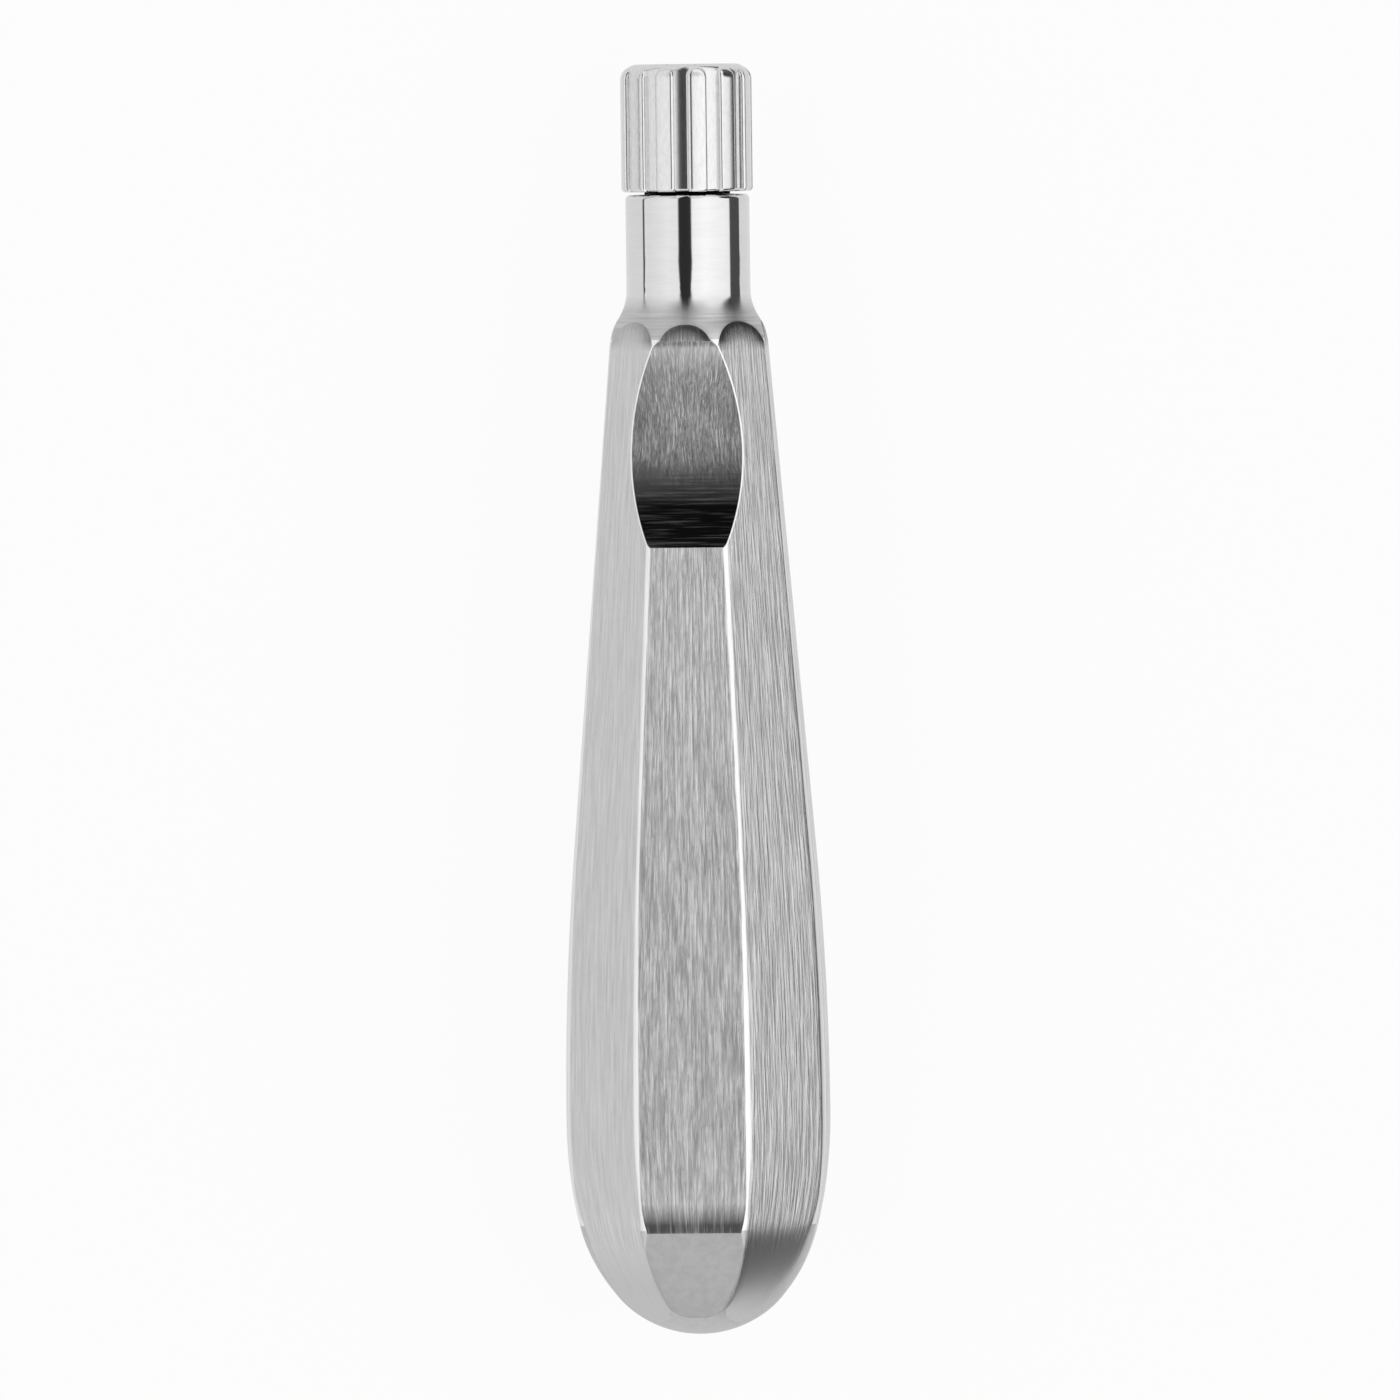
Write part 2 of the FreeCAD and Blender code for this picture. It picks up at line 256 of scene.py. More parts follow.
def gripRing(station):
    radius = heightOn(blank, station)
    side = heightOn(sideFacet, station)
    face = heightOn(faceFacet, station)
    scoopBlend = np.interp(station, grip["archStations"], [grip["crossBlend"], grip["archBlend"]])
    front = smoothLess(face, scoopFloor(station), scoopBlend)
    front = float(smoothLess(front, buttFlat(station), grip["crossBlend"]))
    heel = float(smoothLess(side, heelFlat(station), grip["heelFlatBlend"]))
    heights = [front, heel, side, side, face, side, side, heel]
    # columns keep to the facets' edges, and spread out where there are none
    spread = np.interp(station, grip["spreadStations"], grip["spread"])
    halves = [max(math.acos(min(1, height / radius)), math.radians(spread)) for height in heights]
    least = grip["leastCorner"] / max(radius, grip["leastRadius"])
    edges = []
    for index in range(8):
        after = (index + 1) % 8
        first = halves[index]
        last = eighth - halves[after]
        if last - first < least:
            middle = (first + last) / 2
            if heights[index] < radius and heights[after] < radius:
                ratio = heights[after] / heights[index]
                middle = math.atan((ratio - math.cos(eighth)) / math.sin(eighth))
            first = middle - least / 2
            last = middle + least / 2
        edges.append((index * eighth + first, index * eighth + last))
    angles = []
    for index in range(8):
        first = edges[index - 1][1] - (2 * math.pi if index == 0 else 0)
        last, after = edges[index]
        steps = (1 - np.cos(np.linspace(0, math.pi, grip["flatColumns"] + 1))) / 2
        angles += list(first + (last - first) * steps)[:-1]
        angles += list(np.linspace(last, after, grip["cornerColumns"] + 1))[:-1]
    angles = np.array(angles + [angles[0] + 2 * math.pi])
    radii = np.full(angles.shape, radius)
    sideBlend = np.interp(station, grip["heelStations"], [grip["heelBlend"], grip["edgeBlend"]])
    for index, height in enumerate(heights):
        radii = smoothLess(radii, facetReach(angles, index, height),
                           grip["edgeBlend"] if index == 0 else sideBlend)
    return angles, radii


def gripStations():
    turns = np.radians(np.linspace(0.6, 50, grip["domeRows"]))
    spans = [grip["buttRadius"] * (1 - np.cos(turns))]
    spans += [np.linspace(first, last, rows) for first, last, rows in grip["rows"]]
    spans.append(np.linspace(95.8, grip["length"] - grip["rimRound"], grip["neckRows"]))
    return np.unique(np.round(np.concatenate(spans), 4))


nose = {
    "rootRadius": 4.05, "undercut": 0.15, "undercutLength": 0.8, "tip": 112.2, "tipChamfer": 0.4,
    "seatBottom": 105.97, "seatTop": 3.444, "seatSlope": 8, "holeRadius": 2.25, "holeDepth": 14,
    "drillAngle": 118,
}


def noseLine():
    # the turned end from the neck's face, over the nose and down its hollow, as (station, radius)
    root = nose["rootRadius"] - nose["undercut"]
    start = grip["length"] + nose["undercutLength"]
    mouth = nose["seatTop"]
    bottom = mouth - (nose["tip"] - nose["seatBottom"]) * math.tan(math.radians(nose["seatSlope"]))
    floor = nose["seatBottom"] - nose["holeDepth"]
    point = floor - nose["holeRadius"] / math.tan(math.radians(nose["drillAngle"] / 2))
    return [(grip["length"], root), (start, root), (start + nose["undercut"], nose["rootRadius"]),
            (nose["tip"] - nose["tipChamfer"], nose["rootRadius"]),
            (nose["tip"], nose["rootRadius"] - nose["tipChamfer"]), (nose["tip"], mouth),
            (nose["seatBottom"], bottom), (nose["seatBottom"], nose["holeRadius"]),
            (floor, nose["holeRadius"]), (point, 0)]


def crispRows(line, inset=0.02):
    # every corner of a turned outline gets a close row on each side, so that it shades as an edge
    rows = []
    for index, spot in enumerate(line):
        here = np.array(spot, dtype=float)
        for other in (index - 1, index + 1):
            if 0 <= other < len(line):
                way = np.array(line[other]) - here
                rows.append(tuple(here + way / np.linalg.norm(way) * inset))
    return rows


def makeGrip():
    rings = [polar(np.zeros(8 * (grip["flatColumns"] + grip["cornerColumns"]) + 1), 0, 0)]
    for station in gripStations():
        angles, radii = gripRing(station)
        rings.append(polar(angles, radii, station))
    rim = grip["rimRound"]
    for turn in np.radians(np.linspace(10, 90, grip["rimRows"])):
        rings.append(polar(angles, grip["neckRadius"] - rim + rim * math.cos(turn),
                           grip["length"] - rim + rim * math.sin(turn)))
    for station, radius in crispRows(noseLine()):
        rings.append(polar(angles, radius, station))
    rings.append(polar(angles, 0, noseLine()[-1][0]))
    return gridSkin("grip", np.array(rings))


gripSkin = makeGrip()
print("grip", len(gripSkin.data.polygons), "faces")


# The fluted nut: twelve ribs with round noses on a turned core, sizes in mm

nut = {
    "foot": 104.30, "top": 115.90, "radius": 6.0, "rimRound": 1.45, "footRound": 0.35,
    "coreRadius": 5.45, "coreRound": 0.9, "coreFoot": 0.35, "ribs": 12, "ribHalf": 0.95,
    "noseDrop": 0.16, "ribRound": 0.34, "flankSlope": 7.0, "noseSlope": 1.6, "rootBlend": 0.1,
    "restTurn": -2.0, "leastRibHalf": 0.3, "ribEnd": 0.3, "topGap": 0.02, "rimTurn": 87,
    # columns at a rib's foot, by their distance outside it in mm, and over its edge, in degrees
    "footColumns": [0.07, 0.045, 0.02], "edgeColumns": [0, 20, 40, 60, 75, 90],
    "crestColumns": 5, "fluteColumns": 6,
    "footRows": 8, "ribRows": 14, "ribEndRows": 4, "rimRows": 34, "noseRows": 26,
    "boreRadius": 4.55, "boreChamfer": 0.3, "mouthRadius": 2.885, "mouthChamfer": 0.3,
    "coneStart": 114.23, "frontStart": 115.4, "chamberRadius": 3.56,
    "lipBack": 112.964, "lipFront": 113.844, "lipRadius": 3.31, "lipLift": 0.3,
}


def edgeDrop(station, start, end, drop):
    # how far a rounded end falls below the full radius, for a quarter circle of radius drop
    over = np.clip((station - start) / (end - start), 0, 1)
    return drop * (1 - np.sqrt(np.maximum(1 - over ** 2, 0)))


def nutEnvelope(station):
    return (nut["radius"]
            - edgeDrop(station, nut["top"] - nut["rimRound"], nut["top"], nut["rimRound"])
            - edgeDrop(station, nut["foot"] + nut["footRound"], nut["foot"], nut["footRound"]))


def nutCore(station):
    return (nut["coreRadius"]
            - edgeDrop(station, nut["top"] - nut["coreRound"], nut["top"], nut["coreRound"])
            - edgeDrop(station, nut["foot"] + nut["coreFoot"], nut["foot"], nut["coreFoot"]))


noseCentre = nut["top"] - nut["noseDrop"] - nut["ribHalf"]


def ribHalfAt(station):
    over = np.clip(station - noseCentre, 0, nut["ribHalf"])
    return math.sqrt(nut["ribHalf"] ** 2 - over ** 2)


def nutRing(station):
    pitch = 2 * math.pi / nut["ribs"]
    core = nutCore(station)
    half = max(ribHalfAt(station), nut["leastRibHalf"])
    # offsets across half a flute and half a rib, from the middle of the flute
    inside = half - nut["ribRound"] * (1 - np.cos(np.radians(nut["edgeColumns"])))
    inside = np.concatenate([[half + outside for outside in nut["footColumns"]], inside])
    crest = np.linspace(inside[-1], 0, nut["crestColumns"])[1:]
    ribSide = np.arcsin(np.concatenate([inside, crest]) / nut["radius"])
    flute = np.linspace(0, pitch / 2 - ribSide[0], nut["fluteColumns"])[:-1]
    halfPitch = np.concatenate([flute, pitch / 2 - ribSide])
    whole = np.concatenate([halfPitch, (pitch - halfPitch[::-1])[1:]])[:-1]
    turns = [whole + pitch * index for index in range(nut["ribs"])]
    angles = np.concatenate(turns + [[2 * math.pi]])
    across = (angles + pitch / 2) % pitch - pitch / 2
    across = (pitch / 2 - np.abs(across)) * nut["radius"]
    if station < noseCentre:
        depth = nut["ribHalf"] - across
    else:
        depth = nut["ribHalf"] - np.hypot(across, station - noseCentre)
    inward = np.clip(nut["ribRound"] - depth, 0, nut["ribRound"])
    drop = nut["ribRound"] - np.sqrt(np.maximum(nut["ribRound"] ** 2 - inward ** 2, 0))
    share = np.clip((station - noseCentre) / nut["ribHalf"], 0, 1)
    slope = nut["flankSlope"] + (nut["noseSlope"] - nut["flankSlope"]) * share
    drop = drop + np.maximum(-depth, 0) * slope
    rib = nutEnvelope(station) - drop
    radii = smoothMore(np.full(angles.shape, core), rib, nut["rootBlend"])
    return angles, np.where(rib > 0, radii, core)


def nutStations():
    footTurns = np.radians(np.linspace(0, 90, nut["footRows"]))
    rimTurns = np.radians(np.linspace(0, nut["rimTurn"], nut["rimRows"]))
    foot = nut["foot"] + nut["footRound"] * (1 - np.cos(footTurns))
    ribEnd = noseCentre - nut["ribEnd"]
    return np.unique(np.round(np.concatenate([
        foot,
        np.linspace(foot[-1], ribEnd, nut["ribRows"]),
        np.linspace(ribEnd, noseCentre, nut["ribEndRows"]),
        nut["top"] - nut["rimRound"] * (1 - np.sin(rimTurns)),
        np.linspace(noseCentre, nut["top"] - nut["topGap"], nut["noseRows"])]), 4))


def makeNut():
    # up the outside, in at the front and back down the bore, to the ring that it started from
    restTurn = math.radians(nut["restTurn"])
    innerFoot = nut["boreRadius"] + nut["boreChamfer"]
    stations = nutStations()
    angles, radii = nutRing(stations[0])
    start = polar(angles + restTurn, innerFoot, nut["foot"])
    rings = [start]
    for station in stations:
        angles, radii = nutRing(station)
        rings.append(polar(angles + restTurn, radii, station))
    angles = angles + restTurn
    mouth = nut["mouthRadius"]
    edge = nut["mouthChamfer"]
    topFlat = nut["coreRadius"] - nut["coreRound"]
    front = [(nut["top"], topFlat), (nut["top"], mouth + edge), (nut["top"] - edge, mouth),
             (nut["frontStart"], mouth), (nut["coneStart"], nut["chamberRadius"]),
             (nut["lipFront"], nut["chamberRadius"])]
    for station, radius in crispRows(front):
        rings.append(polar(angles, radius, station))
    for station in (nut["lipFront"], nut["lipBack"]):
        rings.append(polar(angles, nut["lipRadius"], station, nut["lipLift"]))
    back = [(nut["lipBack"], nut["boreRadius"]),
            (nut["foot"] + nut["boreChamfer"], nut["boreRadius"]),
            (nut["foot"], innerFoot)]
    for station, radius in crispRows(back):
        rings.append(polar(angles, radius, station))
    rings.append(start)
    return gridSkin("flutedNut", np.array(rings))


nutSkin = makeNut()
print("nut", len(nutSkin.data.polygons), "faces")


# The screw thread between the nose and the nut, 0.75 mm pitch, right-hand

thread = {
    "pitch": 0.75, "crestHalf": 0.05, "rootHalf": 0.3, "stepsRound": 72, "leastGrowth": 0.12,
    "noseRoot": 4.0, "noseCrest": 4.45, "noseFrom": 105.5, "noseTo": 111.5,
    "nutRoot": 4.6, "nutCrest": 4.15, "nutFrom": 104.95, "nutTo": 112.2, "crease": 30,
}


def makeThread(name, root, crest, first, last, shift):
    turns = (last - first) / thread["pitch"]
    steps = int(turns * thread["stepsRound"])
    halfTurn = thread["stepsRound"] / 2
    crestHalf, rootHalf = thread["crestHalf"], thread["rootHalf"]
    rings = []
    for step in range(steps + 1):
        share = step / steps
        station = first + (last - first) * share
        angle = (station - shift) / thread["pitch"] * 2 * math.pi
        # the ridge rises out of the wall over half a turn at each end
        growth = min(1, step / halfTurn, (steps - step) / halfTurn)
        height = root + (crest - root) * max(growth, thread["leastGrowth"])
        profile = [(-rootHalf, root), (-crestHalf, height), (crestHalf, height), (rootHalf, root),
                   (-rootHalf, root)]
        rings.append([(radius * math.sin(angle), station + along + buttY,
                       radius * math.cos(angle) + axisZ) for along, radius in profile])
    ridge = gridSkin(name, np.array(rings))
    bpy.ops.object.mode_set(mode="EDIT")
    bpy.ops.mesh.select_all(action="DESELECT")
    bpy.ops.mesh.select_non_manifold()
    bpy.ops.mesh.fill()
    bpy.ops.mesh.select_all(action="SELECT")
    bpy.ops.mesh.normals_make_consistent(inside=False)
    bpy.ops.object.mode_set(mode="OBJECT")
    bpy.ops.object.shade_smooth_by_angle(angle=math.radians(thread["crease"]))
    return ridge


noseThread = makeThread("noseThread", thread["noseRoot"], thread["noseCrest"],
                        thread["noseFrom"], thread["noseTo"], 0)
nutThread = makeThread("nutThread", thread["nutRoot"], thread["nutCrest"],
                       thread["nutFrom"], thread["nutTo"], thread["pitch"] / 2)
print("threads", len(noseThread.data.polygons) + len(nutThread.data.polygons), "faces")


# Materials

def srgb(hexColour):
    # hex colour as it shows on a screen, turned to linear light
    values = [int(hexColour[place:place + 2], 16) / 255 for place in (1, 3, 5)]
    return [value / 12.92 if value <= 0.04045 else ((value + 0.055) / 1.055) ** 2.4
            for value in values] + [1.0]


def addNode(tree, kind, settings=None, inputs=None):
    # one node with its settings, and with its inputs either set or linked
    node = tree.nodes.new(kind)
    for key, value in (settings or {}).items():
        setattr(node, key, value)
    for key, value in (inputs or {}).items():
        if isinstance(value, bpy.types.NodeSocket):
            tree.links.new(value, node.inputs[key])
        else:
            node.inputs[key].default_value = value
    return node


def newMaterial(name):
    material = bpy.data.materials.new(name)
    material.use_nodes = True
    material.node_tree.nodes.clear()
    return material, material.node_tree


# Finishes: all stainless steel, worked in a different way on each part of the handle.
# "grain" is the size of one scratch along x, y and z and "depth" how deep it looks, both in mm. The real
# scratches are about 0.1 mm wide: they are drawn about twice as wide, because finer ones don't show.
# Painted shade: the colour darkens from one station to another, standing for dark reflections in the
# steel, and its streak keeps some scratches lighter.

beltGround = {"colour": "#F4F4F4", "shade": "#C6C6C6", "roughness": 0.27, "anisotropic": 0.8,
              "grain": (0.21, 5.5, 0.21), "depth": 0.065, "wrapped": True}

finishes = {
    # belt-ground facets: fine lines along the handle, and gloss that spreads across it, with painted
    # shade toward the butt and at the facets' rolled ends
    "beltGroundFacet": {**beltGround, "paintedArchDark": 0.88, "fine": 0.7, "fadeFrom": 11.5, "fadeTo": 7.5,
                        "paintedShadeFrom": 11.0, "paintedShadeTo": 5.0, "paintedShade": 0.84, "paintedShadeStreak": 0.0},
    # the belt's run-out at the lower end of the front facet: a streaky band, darkened with painted shade
    "beltRunOutPaintedShade": {**beltGround, "paintedShadeFrom": 12.8, "paintedShadeTo": 10.8, "paintedShade": 0.16, "paintedShadeStreak": 0.26},
    # the turned metal left between the facets: smoother, and bright as a line
    "turnedCorner": {"colour": "#F6F6F6", "shade": "#EEEEEE", "roughness": 0.22, "anisotropic": 0.4,
                     "grain": (0.5, 9.0, 0.5), "depth": 0.003},
    # the wheel-ground scoop: lined lengthwise, and crosswise in its steep lower part, which painted shade
    # makes dark
    "groundScoop": {"colour": "#D8D8D8", "shade": "#B4B4B4", "roughness": 0.22, "anisotropic": 0.75,
                    "grain": (0.3, 2.4, 0.3), "depth": 0.045, "wrapped": True,
                    "crossGrain": (6.0, 0.2, 6.0), "crossFrom": 80.2, "crossTo": 77.0,
                    "paintedShadeFrom": 81.6, "paintedShadeTo": 75.8, "paintedShade": 0.03, "paintedShadeStreak": 0.24},
    # the satin flat at the butt: an even grey without a reflection's edge
    "satinFlat": {"colour": "#BABABA", "shade": "#B2B2B2", "roughness": 0.42,
                  "grain": (0.9, 0.9, 0.9), "depth": 0.006},
    # the satin dome round it: soft, and a little lighter
    "satinDome": {"colour": "#D0D0D0", "shade": "#C8C8C8", "roughness": 0.36,
                  "grain": (0.4, 1.2, 0.4), "depth": 0.004},
    # the turned flare: lined round the axis, so that the gloss spreads along it
    "linedFlare": {"colour": "#D4D4D4", "shade": "#BEBEBE", "roughness": 0.4, "anisotropic": 0.5,
                   "turn": 0.25, "grain": (9.0, 0.24, 9.0), "depth": 0.012},
    # the polished neck: a near mirror, which dulls as it runs into the flare and is darkened there with
    # painted shade
    "polishedNeck": {"colour": "#E8E8E8", "shade": "#E4E4E4", "roughness": 0.07,
                     "grain": (3.0, 0.5, 3.0), "depth": 0.0004,
                     "dullRoughness": 0.34, "dullFrom": 94.9, "dullTo": 93.4,
                     "paintedShadeFrom": 95.0, "paintedShadeTo": 93.4, "paintedShade": 0.74, "paintedShadeStreak": 0.0},
    # the polished nut and threads: bright ribs, with reflections a little softened
    "polishedNut": {"colour": "#EAEAEA", "shade": "#E2E2E2", "roughness": 0.18,
                    "grain": (0.3, 0.9, 0.3), "depth": 0.0008},
    # the nose's root and hollow: painted shade, dark so that the gap behind the nut reads as a line
    "paintedShadeRoot": {"colour": "#4A4A4A", "shade": "#3A3A3A", "roughness": 0.4,
                   "grain": (0.5, 0.5, 0.5), "depth": 0.002},
    # the collet's spring steel: fine turning marks round the axis
    "turnedSpring": {"colour": "#C8C8C8", "shade": "#B8B8B8", "roughness": 0.24, "anisotropic": 0.5,
                     "turn": 0.25, "grain": (20.0, 0.15, 20.0), "depth": 0.006},
}


# What all the scratches share: the noise, the spans of it that run from shade to colour and that stay
# lighter in the painted shade, and its middle. Those on the left turn finer between two places across, in
# mm.
scratches = {"detail": 2.5, "roughness": 0.65, "tone": (0.35, 0.62), "streak": (0.5, 0.68), "middle": 0.5,
             "left": (-3.7, -4.2), "faded": 0.9, "wrapRadius": 10}


def grainNoise(tree, place, sizes):
    # noise drawn out along the axes, from the size of one scratch in mm
    spread = addNode(tree, "ShaderNodeMapping",
                     inputs={"Vector": place, "Scale": [1 / (size * mm) for size in sizes]})
    return addNode(tree, "ShaderNodeTexNoise", {"noise_dimensions": "3D"}, {
        "Vector": spread.outputs[0], "Scale": 1.0, "Detail": scratches["detail"],
        "Roughness": scratches["roughness"]}).outputs["Fac"]


def wrappedPlace(tree, place):
    # the place laid on a cylinder round the long axis, so that scratches run on down a slope
    x, y, z = addNode(tree, "ShaderNodeSeparateXYZ", inputs={0: place}).outputs
    height = addNode(tree, "ShaderNodeMath", {"operation": "SUBTRACT"}, {0: z, 1: axisZ * mm}).outputs[0]
    spoke = addNode(tree, "ShaderNodeCombineXYZ", inputs={0: x, 2: height}).outputs[0]
    way = addNode(tree, "ShaderNodeVectorMath", {"operation": "NORMALIZE"}, {0: spoke}).outputs[0]
    station = addNode(tree, "ShaderNodeCombineXYZ", inputs={1: y}).outputs[0]
    return addNode(tree, "ShaderNodeVectorMath", {"operation": "MULTIPLY_ADD"},
                   {0: way, 1: (scratches["wrapRadius"] * mm,) * 3, 2: station}).outputs[0]


def stationMask(tree, place, start, end, low=0.0, high=1.0):
    # from one value at one station to another value at the next, in mm from the butt
    station = addNode(tree, "ShaderNodeSeparateXYZ", inputs={0: place}).outputs[1]
    return addNode(tree, "ShaderNodeMapRange", inputs={
        0: station, 1: (start + buttY) * mm, 2: (end + buttY) * mm, 3: low, 4: high}).outputs[0]


def makeGrain(tree, place, finish):
    laid = wrappedPlace(tree, place) if "wrapped" in finish else place
    grain = grainNoise(tree, laid, finish["grain"])
    if "fine" in finish:
        # the facets left of the front one are ground finer, and all run smooth toward the butt
        aside = addNode(tree, "ShaderNodeSeparateXYZ", inputs={0: laid}).outputs[0]
        first, last = scratches["left"]
        left = addNode(tree, "ShaderNodeMapRange", inputs={
            0: aside, 1: first * mm, 2: last * mm, 3: 0.0, 4: finish["fine"]}).outputs[0]
        fade = stationMask(tree, place, finish["fadeFrom"], finish["fadeTo"], 0.0, scratches["faded"])
        fade = addNode(tree, "ShaderNodeMath", {"operation": "MAXIMUM"}, {0: left, 1: fade}).outputs[0]
        grain = addNode(tree, "ShaderNodeMix", {"data_type": "FLOAT"},
                        {0: fade, 2: grain, 3: scratches["middle"]}).outputs[0]
    if "crossGrain" in finish:
        cross = grainNoise(tree, place, finish["crossGrain"])
        mask = stationMask(tree, place, finish["crossFrom"], finish["crossTo"])
        grain = addNode(tree, "ShaderNodeMix", {"data_type": "FLOAT"},
                        {0: mask, 2: grain, 3: cross}).outputs[0]
    return grain


def makeColour(tree, place, grain, finish):
    first, last = scratches["tone"]
    tone = addNode(tree, "ShaderNodeMapRange", inputs={
        0: grain, 1: first, 2: last, 3: 0.0, 4: 1.0}).outputs[0]
    colour = addNode(tree, "ShaderNodeMix", {"data_type": "RGBA"}, {
        0: tone, 6: srgb(finish["shade"]), 7: srgb(finish["colour"])}).outputs[2]
    # painted shade: the colour darkens from one station to the next, with some scratches kept lighter
    if "paintedShade" in finish:
        paintedShade = stationMask(tree, place, finish["paintedShadeFrom"], finish["paintedShadeTo"], 1.0, finish["paintedShade"])
        first, last = scratches["streak"]
        streak = addNode(tree, "ShaderNodeMapRange", inputs={
            0: grain, 1: first, 2: last, 3: 0.0, 4: finish["paintedShadeStreak"]}).outputs[0]
        lost = addNode(tree, "ShaderNodeMath", {"operation": "SUBTRACT"}, {0: 1.0, 1: paintedShade}).outputs[0]
        kept = addNode(tree, "ShaderNodeMath", {"operation": "MULTIPLY_ADD"},
                       {0: lost, 1: streak, 2: paintedShade}).outputs[0]
        colour = addNode(tree, "ShaderNodeVectorMath", {"operation": "SCALE"},
                         {0: colour, "Scale": kept}).outputs[0]
    # painted shade at the facets' rolled ends, read from the vertices
    if "paintedArchDark" in finish:
        arch = addNode(tree, "ShaderNodeAttribute", {"attribute_name": "paintedArchShade"}).outputs["Fac"]
        kept = addNode(tree, "ShaderNodeMapRange", inputs={
            0: arch, 1: 0.0, 2: 1.0, 3: 1.0, 4: 1 - finish["paintedArchDark"]}).outputs[0]
        colour = addNode(tree, "ShaderNodeVectorMath", {"operation": "SCALE"},
                         {0: colour, "Scale": kept}).outputs[0]
    return colour


def makeFinish(name):
    finish = finishes[name]
    material, tree = newMaterial(name + "Steel")
    place = addNode(tree, "ShaderNodeTexCoord").outputs["Object"]
    grain = makeGrain(tree, place, finish)
    bump = addNode(tree, "ShaderNodeBump", inputs={
        "Height": grain, "Strength": 1.0, "Distance": finish["depth"] * mm})
    shader = addNode(tree, "ShaderNodeBsdfPrincipled", inputs={
        "Base Color": makeColour(tree, place, grain, finish), "Metallic": 1.0,
        "Roughness": finish["roughness"], "Normal": bump.outputs[0]})
    if "dullRoughness" in finish:
        dull = stationMask(tree, place, finish["dullFrom"], finish["dullTo"],
                           finish["roughness"], finish["dullRoughness"])
        tree.links.new(dull, shader.inputs["Roughness"])
    if "anisotropic" in finish:
        shader.inputs["Anisotropic"].default_value = finish["anisotropic"]
        shader.inputs["Anisotropic Rotation"].default_value = finish.get("turn", 0.0)
        tangent = addNode(tree, "ShaderNodeTangent", {"direction_type": "RADIAL", "axis": "Y"})
        tree.links.new(tangent.outputs[0], shader.inputs["Tangent"])
    addNode(tree, "ShaderNodeOutputMaterial", inputs={"Surface": shader.outputs[0]})
    return material


steel = {name: makeFinish(name) for name in finishes}
gripZones = ["beltGroundFacet", "turnedCorner", "groundScoop", "satinFlat", "satinDome", "linedFlare",
             "polishedNeck", "paintedShadeRoot", "beltRunOutPaintedShade"]
# the stations, in mm from the butt, at which one finish gives way to the next
zoneEnds = {"dome": 10.5, "runOut": 13, "edges": 91.5, "flare": 91, "neck": 93.4,
            "root": grip["length"] + 0.02}
edgeShare = 0.75    # how much of an edge's rounding has the turned finish


def zoneOf(station, angle):
    # which finish a face of the grip has, from the surface that lies lowest at its middle
    face = np.interp(station, faceFacet[:, 0], faceFacet[:, 1])
    side = np.interp(station, sideFacet[:, 0], sideFacet[:, 1])
    front = np.stack([face, scoopFloor(station), buttFlat(station)])
    lowest = front.argmin(axis=0)
    heel = np.minimum(side, heelFlat(station))
    heights = [front.min(axis=0), heel, side, side, face, side, side, heel]
    reaches = [facetReach(angle, index, height) for index, height in enumerate(heights)]
    nearest = np.argmin(reaches, axis=0)
    reaches = np.sort(reaches, axis=0)
    turned = reaches[0] > np.interp(station, blank[:, 0], blank[:, 1])
    onEdge = reaches[1] - reaches[0] < grip["edgeBlend"] * edgeShare
    onEdge &= (station > zoneEnds["dome"]) & (station < zoneEnds["edges"])
    steps = [("beltRunOutPaintedShade", (nearest == 0) & (station < zoneEnds["runOut"])),
             ("groundScoop", (nearest == 0) & (lowest == 1)),
             ("satinFlat", (nearest == 0) & (lowest == 2)),
             ("turnedCorner", turned | onEdge),
             ("satinDome", turned & (station < zoneEnds["dome"])),
             ("linedFlare", turned & (station > zoneEnds["flare"])),
             ("polishedNeck", station > zoneEnds["neck"]),
             ("paintedShadeRoot", station > zoneEnds["root"])]
    zone = np.full(station.shape, gripZones.index("beltGroundFacet"), dtype=np.int32)
    for name, where in steps:
        zone[where] = gripZones.index(name)
    return zone


def dress(obj, materials, body):
    obj.data.materials.clear()
    for material in materials:
        obj.data.materials.append(material)
    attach(obj, body)


def readSpots(items, field):
    # places of vertices or faces, as distance across, station and height over the long axis, in mm
    spots = np.empty(len(items) * 3, dtype=np.float32)
    items.foreach_get(field, spots)
    return (spots.reshape(-1, 3) / mm - (0, buttY, axisZ)).T


def dressGrip():
    dress(gripSkin, [steel[name] for name in gripZones], "handle")
    across, station, height = readSpots(gripSkin.data.polygons, "center")
    zone = zoneOf(station, np.arctan2(across, height))
    gripSkin.data.polygons.foreach_set("material_index", zone)


# painted shade on the rolled ends of the facets, for their dark reflections: within a depth in mm, from a
# station, and less on the left
paintedArchShade = {"full": 1.25, "depth": 0.5, "station": 89.9, "over": 0.9, "leftLess": 0.85, "least": 0.25}


def paintArchShade():
    # painted shade: darkest where a facet lies close to the turned surface, fading in from a station
    across, station, height = readSpots(gripSkin.data.vertices, "co")
    radius = np.hypot(across, height)
    depth = np.interp(station, blank[:, 0], blank[:, 1]) - radius
    shade = np.clip(paintedArchShade["full"] - depth / paintedArchShade["depth"], 0, 1)
    shade *= np.clip((station - paintedArchShade["station"]) / paintedArchShade["over"], 0, 1)
    shade *= np.clip(1 + paintedArchShade["leftLess"] * across / radius.clip(1), paintedArchShade["least"], 1)
    attribute = gripSkin.data.attributes.new("paintedArchShade", "FLOAT", "POINT")
    attribute.data.foreach_set("value", shade.astype(np.float32))


dressGrip()
paintArchShade()
dress(noseThread, [steel["polishedNut"]], "handle")
dress(nutSkin, [steel["polishedNut"]], "nut")
dress(nutThread, [steel["polishedNut"]], "nut")
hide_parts("handle_body")
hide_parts("clamp_nut")
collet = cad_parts["collet"]
collet.data.materials.clear()
collet.data.materials.append(steel["turnedSpring"])
print("materials ready")


# Camera: nearly straight above, as the photograph is taken, with sizes in mm and turns in degrees

view = {"distance": 1200.0, "width": 127.7, "turn": 3.0, "tilt": 2.55, "roll": 0.72, "right": 0.58,
        "sensor": 36, "clipStart": 50.0, "clipEnd": 20000.0}


